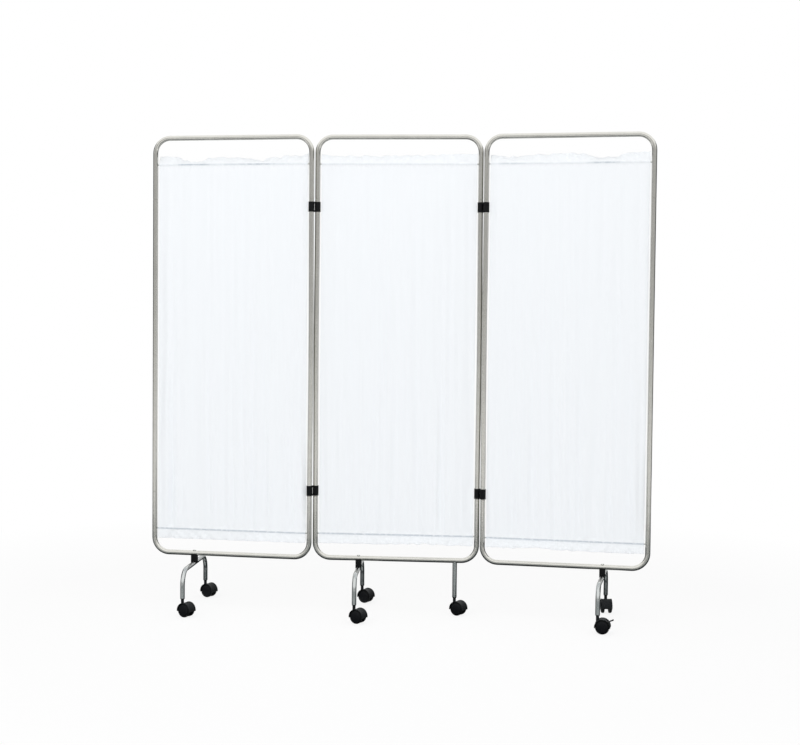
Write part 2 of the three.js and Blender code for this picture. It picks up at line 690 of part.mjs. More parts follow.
// The right clips reach from the middle panel's right upright to the right panel's left upright
const rightClips = clipPair('right');
rightClips.rotation.z = RIGHT_CLIP_YAW;
rightClips.position.copy(alongPanel(PANEL_PITCH));
screen.add(rightClips);
const rightHinge = new THREE.Vector3(CLIP_PITCH, 0, 0).applyEuler(rightClips.rotation);
const right = panel('right', rightFootPlace, RIGHT_FOOT_YAW);
right.rotation.z = RIGHT_PANEL_YAW;
right.position.copy(rightClips.position).add(rightHinge);
const rightLegs = legPlaces(rightFootPlace, RIGHT_FOOT_YAW);
const rightFrontYaw = RIGHT_FRONT_CASTOR_YAW - RIGHT_PANEL_YAW;
const rightBackYaw = RIGHT_BACK_CASTOR_YAW - RIGHT_PANEL_YAW;
right.add(castor('right_front', rightLegs[0], rightFrontYaw, true));
right.add(castor('right_back', rightLegs[1], rightBackYaw));
screen.add(right);

// The origin goes to the floor under the middle of the whole screen
screen.updateMatrixWorld(true);
const reach = new THREE.Box3().setFromObject(screen, true);
const centre = reach.getCenter(new THREE.Vector3());
screen.position.set(-centre.x, -centre.y, -reach.min.z);
screen.updateMatrixWorld(true);

export default screen;
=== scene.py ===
import json
from math import atan2, cos, pi, radians, sin

import bmesh
import bpy
import numpy as np
from mathutils import Matrix, Vector


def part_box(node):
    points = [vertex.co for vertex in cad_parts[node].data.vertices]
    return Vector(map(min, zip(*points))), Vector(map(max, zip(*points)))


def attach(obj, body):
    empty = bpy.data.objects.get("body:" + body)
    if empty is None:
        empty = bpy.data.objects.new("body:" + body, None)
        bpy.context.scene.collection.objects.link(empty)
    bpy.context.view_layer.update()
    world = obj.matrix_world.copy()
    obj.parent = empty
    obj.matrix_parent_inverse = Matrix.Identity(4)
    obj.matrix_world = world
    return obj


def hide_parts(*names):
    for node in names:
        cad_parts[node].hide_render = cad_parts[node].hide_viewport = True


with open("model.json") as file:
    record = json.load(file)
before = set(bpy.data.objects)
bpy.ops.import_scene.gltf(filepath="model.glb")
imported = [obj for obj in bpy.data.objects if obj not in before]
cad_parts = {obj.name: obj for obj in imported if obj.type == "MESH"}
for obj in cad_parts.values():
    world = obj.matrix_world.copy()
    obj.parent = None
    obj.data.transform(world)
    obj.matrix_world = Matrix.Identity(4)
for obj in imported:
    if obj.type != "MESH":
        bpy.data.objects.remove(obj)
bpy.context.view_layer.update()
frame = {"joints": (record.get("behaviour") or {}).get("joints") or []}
bpy.ops.object.select_all(action="DESELECT")


# Camera. It stands where the photograph was taken from, 5 m in front of the screen and a little
# right of its middle. The lens and the small turns were fitted to the tubes in the photograph.
camera_place = (0.4219, -4.9556, 1.074)
camera_lens_mm = 62.86
camera_turn_left = radians(4.72)
camera_tilt_down = radians(2.38)
camera_roll = radians(0.56)

bpy.ops.object.camera_add()
camera = bpy.context.object
camera.data.lens = camera_lens_mm
camera.matrix_world = (
    Matrix.Translation(camera_place)
    @ Matrix.Rotation(camera_turn_left, 4, "Z")
    @ Matrix.Rotation(pi / 2 - camera_tilt_down, 4, "X")
    @ Matrix.Rotation(camera_roll, 4, "Z")
)
bpy.context.scene.camera = camera
bpy.context.scene.view_settings.view_transform = "Standard"


# Studio. A pale floor, a white room all round, one large soft light from the front left, one weaker
# from the right and a strip above. Cards that only reflections see give the tubes their edges.
floor_size = 30
floor_colour = "#FBFBFB"
shadow_reach = 1.4
shadow_fade = 1.2
shadow_share = 0.15
room_light = 0.7
wall_shine = 0.5
ceiling_shine = 1.25
ceiling_edge = (0.14, 0.38)
key_light = {"place": (-2.6, -4.4, 2.9), "size": (2.6, 2.2), "power": 48}
fill_light = {"place": (3.4, -3.6, 1.9), "size": (1.8, 2.4), "power": 17}
top_light = {"place": (0.3, -0.9, 3.6), "size": (3.4, 0.7), "power": 14}
light_aim = Vector((0, 0, 0.9))
dark_card_colour = "#35393B"
grey_card_colour = "#63676A"
light_card_colour = "#BCC0C0"
card_height = 3.2
side_card_place = (3.4, 1.1)
side_card_length = 3.4
side_card_turn = radians(24)
card_lift = 0.0006
# Floor cards by what reflects them, from the middle to the front: undersides of the bottom rails, legs
# and undersides of the top rails. The far one lies behind, where the undersides are darkest.
rail_card = {"place": (0, -0.21), "size": (6.5, 0.2)}
leg_card = {"place": (0, -0.57), "size": (6.5, 0.52)}
front_card = {"place": (0, -1.28), "size": (6.5, 0.9)}
far_card = {"place": (0, 0.99), "size": (6.5, 2.2)}
floor_card_turn = radians(-4.2)
leg_card_size = (0.12, 0.3)


def colour(code):
    """Turns an sRGB hex value into the linear colour that Blender's sockets take."""
    parts = [int(code[start:start + 2], 16) / 255 for start in (1, 3, 5)]
    linear = [p / 12.92 if p <= 0.04045 else ((p + 0.055) / 1.055) ** 2.4 for p in parts]
    return (*linear, 1)


def add_node(tree, kind, inputs, **settings):
    """Adds a node with its settings. An input is a value, or another node's output to link to."""
    node = tree.nodes.new(kind)
    for name, value in settings.items():
        setattr(node, name, value)
    for socket, value in inputs.items():
        if isinstance(value, bpy.types.NodeSocket):
            tree.links.new(value, node.inputs[socket])
        else:
            node.inputs[socket].default_value = value
    return node


def seen_directly(tree):
    """One for rays from the camera, from a gloss or through glass, and zero for the others."""
    path = add_node(tree, "ShaderNodeLightPath", {})
    gloss = add_node(tree, "ShaderNodeMath", {
        0: path.outputs["Is Camera Ray"], 1: path.outputs["Is Glossy Ray"]}, operation="MAXIMUM")
    either = add_node(tree, "ShaderNodeMath", {
        0: gloss.outputs[0], 1: path.outputs["Is Transmission Ray"]}, operation="MAXIMUM")
    return either.outputs[0]


room = bpy.data.worlds.new("white_room")
bpy.context.scene.world = room
room.use_nodes = True
tree = room.node_tree
tree.nodes.clear()
path = add_node(tree, "ShaderNodeLightPath", {})
way = add_node(tree, "ShaderNodeTexCoord", {})
rise = add_node(tree, "ShaderNodeSeparateXYZ", {0: way.outputs["Generated"]})
# Reflections see grey walls and a bright ceiling
shine = add_node(tree, "ShaderNodeMapRange", {
    "Value": rise.outputs["Z"], "From Min": ceiling_edge[0], "From Max": ceiling_edge[1],
    "To Min": wall_shine, "To Max": ceiling_shine})
# Sockets 2 and 3 of a mix of numbers are its two numbers
unseen = add_node(tree, "ShaderNodeMix", {
    0: path.outputs["Is Glossy Ray"], 2: room_light, 3: shine.outputs[0]})
strength = add_node(tree, "ShaderNodeMix", {
    0: path.outputs["Is Camera Ray"], 2: unseen.outputs[0], 3: 1})
background = add_node(tree, "ShaderNodeBackground", {"Strength": strength.outputs[0]})
add_node(tree, "ShaderNodeOutputWorld", {"Surface": background.outputs[0]})
background.inputs["Color"].default_value = (1, 1, 1, 1)

# Matt white floor, brightened to the white of the room away from the screen's own shadow
bpy.ops.mesh.primitive_plane_add(size=floor_size)
floor = bpy.context.object
floor.name = "studio_floor"
floor_paint = bpy.data.materials.new("matt_white_floor")
floor_paint.use_nodes = True
tree = floor_paint.node_tree
tree.nodes.clear()
place = add_node(tree, "ShaderNodeTexCoord", {})
distance = add_node(
    tree, "ShaderNodeVectorMath", {0: place.outputs["Object"]}, operation="LENGTH")
share = add_node(tree, "ShaderNodeMapRange", {
    "Value": distance.outputs["Value"], "From Min": shadow_reach,
    "From Max": shadow_reach + shadow_fade, "To Min": shadow_share, "To Max": 0})
glow_share = add_node(tree, "ShaderNodeMath", {
    0: share.outputs[0], 1: seen_directly(tree)}, operation="SUBTRACT", use_clamp=False)
glow_share = add_node(tree, "ShaderNodeMath", {0: glow_share.outputs[0]}, operation="ABSOLUTE")
paint = add_node(tree, "ShaderNodeBsdfDiffuse", {"Color": colour(floor_colour)})
glow = add_node(tree, "ShaderNodeEmission", {"Color": (1, 1, 1, 1), "Strength": 1})
blend = add_node(tree, "ShaderNodeMixShader", {
    0: glow_share.outputs[0], 1: paint.outputs[0], 2: glow.outputs[0]})
add_node(tree, "ShaderNodeOutputMaterial", {"Surface": blend.outputs[0]})
floor.data.materials.append(floor_paint)

for lamp in (key_light, fill_light, top_light):
    bpy.ops.object.light_add(type="AREA", location=lamp["place"])
    light = bpy.context.object
    light.data.shape = "RECTANGLE"
    light.data.size, light.data.size_y = lamp["size"]
    light.data.energy = lamp["power"]
    light.visible_glossy = False
    towards = light_aim - Vector(lamp["place"])
    light.rotation_euler = towards.to_track_quat("-Z", "Y").to_euler()


def card_paint(name, code):
    """Plain paint of a studio card, which reflections see as it is written."""
    paint = bpy.data.materials.new(name)
    paint.use_nodes = True
    tree = paint.node_tree
    tree.nodes.clear()
    face = add_node(tree, "ShaderNodeEmission", {"Color": colour(code), "Strength": 1})
    add_node(tree, "ShaderNodeOutputMaterial", {"Surface": face.outputs[0]})
    return paint


def card(name, paint, place, size, turn):
    """A card that shows in reflections and nowhere else: no camera, no shadow, no bounced light."""
    bpy.ops.mesh.primitive_plane_add(size=1, location=place, rotation=turn)
    sheet = bpy.context.object
    sheet.name = name
    sheet.scale = (*size, 1)
    sheet.data.materials.append(paint)
    sheet.visible_camera = False
    sheet.visible_diffuse = False
    sheet.visible_shadow = False
    sheet.visible_transmission = False


dark_paint = card_paint("dark_card", dark_card_colour)
grey_paint = card_paint("grey_card", grey_card_colour)
light_paint = card_paint("light_card", light_card_colour)
for side, sign in (("left", -1), ("right", 1)):
    card(f"{side}_card", dark_paint,
         (sign * side_card_place[0], side_card_place[1], card_height / 2),
         (side_card_length, card_height), (pi / 2, 0, sign * (pi / 2 + side_card_turn)))
for name, paint, floor_card in (
        ("rail_card", grey_paint, rail_card), ("leg_card", light_paint, leg_card),
        ("front_card", grey_paint, front_card), ("far_card", dark_paint, far_card)):
    card(name, paint, (*floor_card["place"], card_lift), floor_card["size"],
         (0, 0, floor_card_turn))
for panel in ("left", "middle", "right"):
    low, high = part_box(f"{panel}_back_castor_socket")
    card(f"{panel}_back_leg_card", light_paint,
         ((low.x + high.x) / 2, (low.y + high.y) / 2, 2 * card_lift), leg_card_size, (0, 0, 0))


# Frame bows and uprights. Satin stainless tube of 18 mm. Each panel has a bow bent at the top and one
# at the bottom, whose drawn-down ends push into two straight uprights and leave a fine gap.
panels = ("left", "middle", "right")
frame_tube = 0.009
frame_wall = 0.0012
corner_radius = 0.055
tube_sides = 32
corner_steps = 12
joint_gap = 0.0003
edge_break = 0.0007
sleeve_radius = 0.0072
sleeve_length = 0.04
rod_hole_radius = 0.0028
upright_steps = 32
upright_bow = 0.0018
smooth_angle = radians(35)
tiny = 0.00001


def middle_of(node):
    low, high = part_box(node)
    return (low + high) / 2


def on_floor(point, turn):
    """The matrix that stands a piece over a point of the floor, turned about the vertical."""
    return Matrix.Translation((point.x, point.y, 0)) @ Matrix.Rotation(turn, 4, "Z")


def panel_place(panel):
    """From a panel's own axes, along its rails from its left upright, to the frame's."""
    start = middle_of(f"{panel}_left_upright")
    along = middle_of(f"{panel}_right_upright") - start
    return on_floor(start, atan2(along.y, along.x))


def select_points(piece, wanted):
    """Selects, in edit mode, the points of a piece that wanted() is true for."""
    mesh = bmesh.from_edit_mesh(piece.data)
    for point in mesh.verts:
        point.select_set(wanted(point.co))
    mesh.select_flush_mode()
    bmesh.update_edit_mesh(piece.data)


def extrude(x=0, y=0, z=0):
    bpy.ops.mesh.extrude_region_move(TRANSFORM_OT_translate={"value": (x, y, z)})


def extrude_ring(centre, scale, z=0):
    """Extrudes the selected ring and scales it about its own centre, then moves it along."""
    extrude()
    bpy.ops.transform.resize(value=(scale, scale, scale), center_override=centre)
    bpy.ops.transform.translate(value=(0, 0, z))


def apply_modifier(piece, kind, **settings):
    bpy.context.view_layer.objects.active = piece
    modifier = piece.modifiers.new(kind.lower(), kind)
    for name, value in settings.items():
        setattr(modifier, name, value)
    bpy.ops.object.modifier_apply(modifier=modifier.name)


def close_shell(piece, wall):
    """Ends edit mode, turns the faces outwards and gives the shell its wall on the inside."""
    bpy.ops.mesh.select_mode(type="VERT")
    bpy.ops.mesh.select_all(action="SELECT")
    bpy.ops.mesh.remove_doubles(threshold=tiny)
    bpy.ops.mesh.normals_make_consistent(inside=False)
    bpy.ops.object.mode_set(mode="OBJECT")
    apply_modifier(piece, "SOLIDIFY", thickness=wall, offset=-1, use_even_offset=True)


def cut(piece, *cutters):
    for cutter in cutters:
        apply_modifier(piece, "BOOLEAN", operation="DIFFERENCE", solver="EXACT", object=cutter)
        bpy.data.objects.remove(cutter)


def join(piece, *others):
    for other in others:
        apply_modifier(piece, "BOOLEAN", operation="UNION", solver="EXACT", object=other)
        bpy.data.objects.remove(other)


def cylinder(radius, length, place, turn=(0, 0, 0), sides=32):
    bpy.ops.object.select_all(action="DESELECT")
    bpy.ops.mesh.primitive_cylinder_add(
        vertices=sides, radius=radius, depth=length, location=place, rotation=turn)
    return bpy.context.object


along_x = (0, pi / 2, 0)
along_y = (pi / 2, 0, 0)


def box(size, place):
    bpy.ops.object.select_all(action="DESELECT")
    bpy.ops.mesh.primitive_cube_add(size=1, location=place)
    bpy.ops.transform.resize(value=size)
    return bpy.context.object


def tube_bow(radius, corner, end_height, rail_height, width):
    """A tube bent to a U in the XZ plane, left in edit mode with both ends open."""
    up = 1 if rail_height > end_height else -1
    bend_height = rail_height - up * corner
    bpy.ops.object.select_all(action="DESELECT")
    bpy.ops.mesh.primitive_circle_add(vertices=tube_sides, radius=radius, enter_editmode=True)
    bpy.ops.transform.translate(value=(0, 0, end_height))
    extrude(z=bend_height - end_height)
    turn = {"steps": corner_steps, "angle": -up * pi / 2, "axis": (0, 1, 0)}
    bpy.ops.mesh.spin(center=(corner, 0, bend_height), **turn)
    extrude(x=width - 2 * corner)
    bpy.ops.mesh.spin(center=(width - corner, 0, bend_height), **turn)
    extrude(z=end_height - bend_height)
    return bpy.context.object


def draw_down(bow, place, height, away):
    """Breaks the edge of one end of a bow and draws it down to the sleeve inside the upright."""
    bpy.ops.mesh.select_mode(type="VERT")
    select_points(bow, lambda p: abs(p.z - height) < tiny and abs(p.x - place) < 2 * frame_tube)
    broken = (frame_tube - edge_break) / frame_tube
    extrude_ring((place, 0, height), broken, away * edge_break)
    extrude_ring((place, 0, height), sleeve_radius / (frame_tube - edge_break))
    extrude(z=away * sleeve_length)


def copy_at(piece, place):
    """A copy of a piece with its own mesh, whose place is in that mesh."""
    twin = piece.copy()
    twin.data = piece.data.copy()
    bpy.context.collection.objects.link(twin)
    twin.data.transform(place @ piece.matrix_world)
    twin.matrix_world = Matrix.Identity(4)
    if place.determinant() < 0:
        twin.data.flip_normals()
    return twin


def fit(piece, name, body, slot, paint, *nodes):
    """Names and paints a finished piece, and puts it on its body in place of its CAD nodes."""
    piece.name = name
    piece.data.name = name
    piece.data.materials.clear()
    piece.data.materials.append(paint)
    bpy.ops.object.select_all(action="DESELECT")
    piece.select_set(True)
    bpy.context.view_layer.objects.active = piece
    bpy.ops.object.transform_apply(location=True, rotation=True, scale=True)
    bpy.ops.object.shade_smooth_by_angle(angle=smooth_angle)
    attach(piece, body)
    if nodes:
        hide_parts(*nodes)


def new_material(name):
    material = bpy.data.materials.new(name)
    material.use_nodes = True
    return material, material.node_tree, material.node_tree.nodes["Principled BSDF"]


# Stainless steel tube, ground to a satin on a belt that leaves fine lines round it. The lines spread
# the gloss, and the grey varies a little from one stretch of tube to the next.
satin_colours = ("#C6C5BF", "#D7D6D0")
satin_patch = 0.06
grind_line = 0.0009
grind_depth = 0.00002
grind_strength = 0.25
satin_gloss = (0.18, 0.26)


def satin_steel(name, colours, gloss):
    steel, tree, shader = new_material(name)
    place = add_node(tree, "ShaderNodeTexCoord", {})
    patches = add_node(tree, "ShaderNodeTexNoise", {
        "Vector": place.outputs["Object"], "Scale": 1 / satin_patch, "Detail": 3})
    # Sockets 6 and 7 of a colour mix are its two colours
    tint = add_node(tree, "ShaderNodeMix", {
        0: patches.outputs[0], 6: colour(colours[0]), 7: colour(colours[1])}, data_type="RGBA")
    lines = add_node(tree, "ShaderNodeTexNoise", {
        "Vector": place.outputs["Object"], "Scale": 1 / grind_line, "Detail": 2})
    haze = add_node(tree, "ShaderNodeMapRange", {
        "Value": lines.outputs[0], "To Min": gloss[0], "To Max": gloss[1]})
    relief = add_node(tree, "ShaderNodeBump", {
        "Height": lines.outputs[0], "Distance": grind_depth, "Strength": grind_strength})
    tree.links.new(tint.outputs[2], shader.inputs["Base Color"])
    tree.links.new(haze.outputs[0], shader.inputs["Roughness"])
    tree.links.new(relief.outputs[0], shader.inputs["Normal"])
    shader.inputs["Metallic"].default_value = 1
    return steel


satin_stainless = satin_steel("satin_stainless_tube", satin_colours, satin_gloss)

upright_low, upright_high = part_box("middle_left_upright")
low_joint, high_joint = upright_low.z, upright_high.z
top_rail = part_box("middle_top_bow")[1].z - frame_tube
bottom_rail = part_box("middle_bottom_bow")[0].z + frame_tube
panel_width = (middle_of("middle_right_upright") - middle_of("middle_left_upright")).length
rod_heights = {
    "top": middle_of("middle_top_rod").z,
    "bottom": middle_of("middle_bottom_rod").z,
}

bows = {}
for level, rail, joint in (("top", top_rail, high_joint), ("bottom", bottom_rail, low_joint)):
    away = -1 if rail > joint else 1
    end = joint - away * (joint_gap + edge_break)
    bow = tube_bow(frame_tube, corner_radius, end, rail, panel_width)
    draw_down(bow, 0, end, away)
    draw_down(bow, panel_width, end, away)
    close_shell(bow, frame_wall)
    for hole_middle in (frame_tube, panel_width - frame_tube):
        cut(bow, cylinder(
            rod_hole_radius, 2 * frame_tube, (hole_middle, 0, rod_heights[level]), along_x))
    bows[level] = bow

bpy.ops.object.select_all(action="DESELECT")
bpy.ops.mesh.primitive_circle_add(vertices=tube_sides, radius=frame_tube, enter_editmode=True)
upright = bpy.context.object
bpy.ops.transform.translate(value=(0, 0, low_joint + edge_break))
for step in range(upright_steps):
    extrude(z=(high_joint - low_joint - 2 * edge_break) / upright_steps)
for height, away in ((low_joint + edge_break, -1), (high_joint - edge_break, 1)):
    select_points(upright, lambda p: abs(p.z - height) < tiny)
    extrude_ring((0, 0, height), (frame_tube - edge_break) / frame_tube, away * edge_break)
close_shell(upright, frame_wall)

# Between the clips the uprights on both sides of a joint bow towards each other
clip_low, clip_high = middle_of("left_lower_clip").z, middle_of("left_upper_clip").z
bowed = {"left": ("right",), "middle": ("left", "right"), "right": ("left",)}
for panel in panels:
    place = panel_place(panel)
    body = f"{panel}_panel"
    for level, bow in bows.items():
        node = f"{panel}_{level}_bow"
        fit(copy_at(bow, place), f"{node}_tube", body, "frame_steel", satin_stainless, node)
    for side, along in (("left", 0), ("right", panel_width)):
        node = f"{panel}_{side}_upright"
        twin = copy_at(upright, Matrix.Identity(4))
        if side in bowed[panel]:
            outwards = {"left": -upright_bow, "right": upright_bow}[side]
            for point in twin.data.vertices:
                share = (point.co.z - clip_low) / (clip_high - clip_low)
                point.co.x += outwards * sin(pi * min(1, max(0, share))) ** 2
        twin.data.transform(place @ Matrix.Translation((along, 0, 0)))
        fit(twin, f"{node}_tube", body, "frame_steel", satin_stainless, node)
for master in (*bows.values(), upright):
    bpy.data.objects.remove(master)


# Curtain rods. Bright drawn steel of 5 mm, cut off and deburred. The ends sit in holes in the inner
# sides of the bows, and the curtain is gathered on the rest.
rod_radius = 0.0025
rod_end_inset = 0.004
rod_deburr = 0.0004
bright_colours = ("#CED0CC", "#E2E3DF")
bright_gloss = (0.14, 0.2)

# Drawn and zinc-bright steel of rods, bolts and stems, lighter and glossier than the ground tube
bright_steel = satin_steel("bright_steel", bright_colours, bright_gloss)

for panel in panels:
    place = panel_place(panel)
    for level, height in rod_heights.items():
        node = f"{panel}_{level}_rod"
        rod_length = panel_width - 2 * rod_end_inset
        rod = cylinder(rod_radius, rod_length, (panel_width / 2, 0, height), along_x, sides=24)
        apply_modifier(rod, "BEVEL", width=rod_deburr, segments=2)
        rod.matrix_world = place @ rod.matrix_world
        fit(rod, f"{node}_bar", f"{panel}_panel", "rod_steel", bright_steel, node)


# Hinge clips. Moulded black plastic, one piece with two rings that snap round neighbouring uprights.
# A web at top and bottom joins the rings and leaves a slit of light between them.
clip_ring = 0.0108
clip_bore = 0.0093
clip_height = 0.036
clip_web_height = 0.006
clip_web_depth = 0.013
clip_edge = 0.0006
plastic_colours = ("#07080A", "#0D0E10")
plastic_grain = 0.0012
plastic_grain_depth = 0.00003
plastic_grain_strength = 0.6
plastic_gloss = (0.42, 0.55)
plastic_shine = 0.16


def moulded_plastic(name, colours, gloss):
    plastic, tree, shader = new_material(name)
    place = add_node(tree, "ShaderNodeTexCoord", {})
    grain = add_node(tree, "ShaderNodeTexNoise", {
        "Vector": place.outputs["Object"], "Scale": 1 / plastic_grain, "Detail": 2})
    tint = add_node(tree, "ShaderNodeMix", {
        0: grain.outputs[0], 6: colour(colours[0]), 7: colour(colours[1])}, data_type="RGBA")
    haze = add_node(tree, "ShaderNodeMapRange", {
        "Value": grain.outputs[0], "To Min": gloss[0], "To Max": gloss[1]})
    relief = add_node(tree, "ShaderNodeBump", {
        "Height": grain.outputs[0], "Distance": plastic_grain_depth,
        "Strength": plastic_grain_strength})
    tree.links.new(tint.outputs[2], shader.inputs["Base Color"])
    tree.links.new(haze.outputs[0], shader.inputs["Roughness"])
    tree.links.new(relief.outputs[0], shader.inputs["Normal"])
    shader.inputs["Specular IOR Level"].default_value = plastic_shine
    return plastic


# Black plastic with a fine moulded grain that breaks up its highlights
black_plastic = moulded_plastic("black_plastic", plastic_colours, plastic_gloss)

joint_places = {joint["name"]: Vector(joint["pos_m"]) for joint in frame["joints"]}
for side in ("left", "right"):
    near = joint_places[f"{side}_clip_hinge"]
    far = joint_places[f"{side}_panel_hinge"]
    pitch = (far - near).to_2d().length
    place = on_floor(near, atan2(far.y - near.y, far.x - near.x))
    for level in ("upper", "lower"):
        node = f"{side}_{level}_clip"
        height = middle_of(node).z
        clip = cylinder(clip_ring, clip_height, (0, 0, height), sides=48)
        join(clip, cylinder(clip_ring, clip_height, (pitch, 0, height), sides=48))
        rise = (clip_height - clip_web_height) / 2
        for web_height in (height - rise, height + rise):
            join(clip, box((pitch, clip_web_depth, clip_web_height), (pitch / 2, 0, web_height)))
        for bore_place in (0, pitch):
            cut(clip, cylinder(clip_bore, 2 * clip_height, (bore_place, 0, height), sides=48))
        apply_modifier(clip, "BEVEL", width=clip_edge, segments=2)
        clip.matrix_world = place @ clip.matrix_world
        fit(clip, f"{node}_moulding", f"{side}_clips", "black_plastic", black_plastic, node)


# Feet. Satin steel tube of 16 mm, bent to a wide U that stands across each panel, with a hole through
# the crossbar for the clamp's bolt. The straight leg is the same tube, its top coped to the rail.
leg_tube = 0.008
leg_wall = 0.0012
leg_corner = 0.052
cope_radius = frame_tube + joint_gap
bolt_hole = 0.0033
leg_colours = ("#BBBFBF", "#CBCDCB")
leg_gloss = (0.18, 0.26)

# The same ground tube, of a cooler and slightly darker grey than the frame
leg_steel = satin_steel("satin_leg_tube", leg_colours, leg_gloss)

leg_low, leg_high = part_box("middle_foot_bow")
leg_end = leg_low.z
crossbar = leg_high.z - leg_tube
foot_run = middle_of("middle_back_castor_socket") - middle_of("middle_front_castor_socket")
foot_depth = foot_run.to_2d().length

foot_bow = tube_bow(leg_tube, leg_corner, leg_end + edge_break, crossbar, foot_depth)
bpy.ops.mesh.select_mode(type="VERT")
for foot_side in (0, foot_depth):
    end = (foot_side, 0, leg_end + edge_break)
    select_points(foot_bow, lambda p: (p - Vector(end)).length < leg_tube + tiny)
    extrude_ring(end, (leg_tube - edge_break) / leg_tube, -edge_break)
close_shell(foot_bow, leg_wall)
cut(foot_bow, cylinder(bolt_hole, 2 * leg_tube, (foot_depth / 2, 0, crossbar + leg_tube)))
foot_turns = {}
for panel in panels:
    front = middle_of(f"{panel}_front_castor_socket")
    back = middle_of(f"{panel}_back_castor_socket")
    foot_turns[panel] = atan2(back.y - front.y, back.x - front.x)
    node = f"{panel}_foot_bow"
    twin = copy_at(foot_bow, on_floor(front, foot_turns[panel]))
    fit(twin, f"{node}_tube", f"{panel}_panel", "leg_steel", leg_steel, node)
bpy.data.objects.remove(foot_bow)

leg_middle = middle_of("middle_straight_leg")
bpy.ops.object.select_all(action="DESELECT")
bpy.ops.mesh.primitive_circle_add(vertices=tube_sides, radius=leg_tube, enter_editmode=True)
straight_leg = bpy.context.object
bpy.ops.transform.translate(value=(0, 0, leg_end + edge_break))
extrude(z=bottom_rail - leg_end - edge_break)
bpy.ops.mesh.select_mode(type="VERT")
select_points(straight_leg, lambda p: abs(p.z - leg_end - edge_break) < tiny)
extrude_ring((0, 0, leg_end + edge_break), (leg_tube - edge_break) / leg_tube, -edge_break)
close_shell(straight_leg, leg_wall)
cut(straight_leg, cylinder(cope_radius, 4 * leg_tube, (0, 0, bottom_rail), along_x, sides=64))
straight_leg.matrix_world = on_floor(leg_middle, 0) @ straight_leg.matrix_world
fit(straight_leg, "middle_straight_leg_tube", "middle_panel", "leg_steel", leg_steel,
    "middle_straight_leg")


# Foot clamps. A black moulded saddle between the bottom rail and the crossbar, hollowed to fit both.
# A domed bolt runs down through rail, saddle and crossbar wall to a nut held inside the crossbar.
clamp_length = 0.02
clamp_depth = 0.022
clamp_corner = 0.003
clamp_edge = 0.0006
seat_radius = leg_tube + joint_gap
bolt_radius = 0.003
bolt_head_radius = 0.0055
bolt_head_height = 0.0035
thread_pitch = 0.001
thread_depth = 0.0003
thread_turns = 4
nut_radius = 0.00577
nut_chamfer = 0.0006

for panel in panels:
    clamp_low, clamp_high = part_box(f"{panel}_foot_clamp")
    bolt_low, bolt_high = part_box(f"{panel}_foot_bolt")
    nut_low, nut_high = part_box(f"{panel}_foot_nut")
    foot_middle = middle_of(f"{panel}_foot_clamp")
    along = middle_of(f"{panel}_right_upright") - middle_of(f"{panel}_left_upright")
    panel_turn = atan2(along.y, along.x)
    place = on_floor(foot_middle, panel_turn)
    seat_turn = (pi / 2, 0, foot_turns[panel] - panel_turn - pi / 2)
    body = f"{panel}_panel"

    clamp_height = clamp_high.z - clamp_low.z
    clamp = box((clamp_length, clamp_depth, clamp_height), (0, 0, foot_middle.z))
    bpy.ops.object.mode_set(mode="EDIT")
    bpy.ops.mesh.select_mode(type="EDGE")
    mesh = bmesh.from_edit_mesh(clamp.data)
    for edge in mesh.edges:
        edge.select_set(abs(edge.verts[0].co.z - edge.verts[1].co.z) > tiny)
    bpy.ops.mesh.bevel(offset=clamp_corner, segments=5)
    bpy.ops.object.mode_set(mode="OBJECT")
    cut(
        clamp,
        cylinder(cope_radius, 2 * clamp_length, (0, 0, bottom_rail), along_x, sides=64),
        cylinder(seat_radius, 2 * clamp_depth, (0, 0, crossbar), seat_turn, sides=64),
        cylinder(bolt_hole, 2 * clamp_height, (0, 0, foot_middle.z)),
    )
    apply_modifier(clamp, "BEVEL", width=clamp_edge, segments=2)
    clamp.matrix_world = place @ clamp.matrix_world
    fit(clamp, f"{panel}_clamp_saddle", body, "black_plastic", black_plastic,
        f"{panel}_foot_clamp")

    head_seat = bolt_high.z - bolt_head_height
    bolt = cylinder(bolt_radius, head_seat - bolt_low.z, (0, 0, (head_seat + bolt_low.z) / 2))
    apply_modifier(bolt, "BEVEL", width=rod_deburr, segments=2)
    bpy.ops.object.select_all(action="DESELECT")
    bpy.ops.mesh.primitive_uv_sphere_add(
        segments=32, ring_count=16, radius=bolt_head_radius, location=(0, 0, head_seat))
    head = bpy.context.object
    head.scale.z = bolt_head_height / bolt_head_radius
    bpy.ops.object.transform_apply(scale=True)
    bpy.ops.object.mode_set(mode="EDIT")
    bpy.ops.mesh.select_all(action="SELECT")
    bpy.ops.mesh.bisect(
        plane_co=(0, 0, head_seat), plane_no=(0, 0, 1), use_fill=True, clear_inner=True)
    bpy.ops.object.mode_set(mode="OBJECT")
    join(bolt, head)
    for turn in range(thread_turns):
        bpy.ops.mesh.primitive_torus_add(
            major_radius=bolt_radius, minor_radius=thread_depth, major_segments=32,
            minor_segments=6, location=(0, 0, bolt_low.z + (turn + 1) * thread_pitch))
        cut(bolt, bpy.context.object)
    bolt.matrix_world = place @ bolt.matrix_world
    fit(bolt, f"{panel}_clamp_bolt", body, "bolt_steel", bright_steel, f"{panel}_foot_bolt")

    nut_middle = (nut_low.z + nut_high.z) / 2
    nut_height = nut_high.z - nut_low.z
    nut = cylinder(nut_radius, nut_height, (0, 0, nut_middle), (0, 0, pi / 6), sides=6)
    cut(nut, cylinder(bolt_hole, 4 * nut_radius, (0, 0, nut_middle)))
    apply_modifier(nut, "BEVEL", width=nut_chamfer, segments=2)
    nut.matrix_world = place @ nut.matrix_world
    fit(nut, f"{panel}_clamp_nut", body, "bolt_steel", bright_steel, f"{panel}_foot_nut")


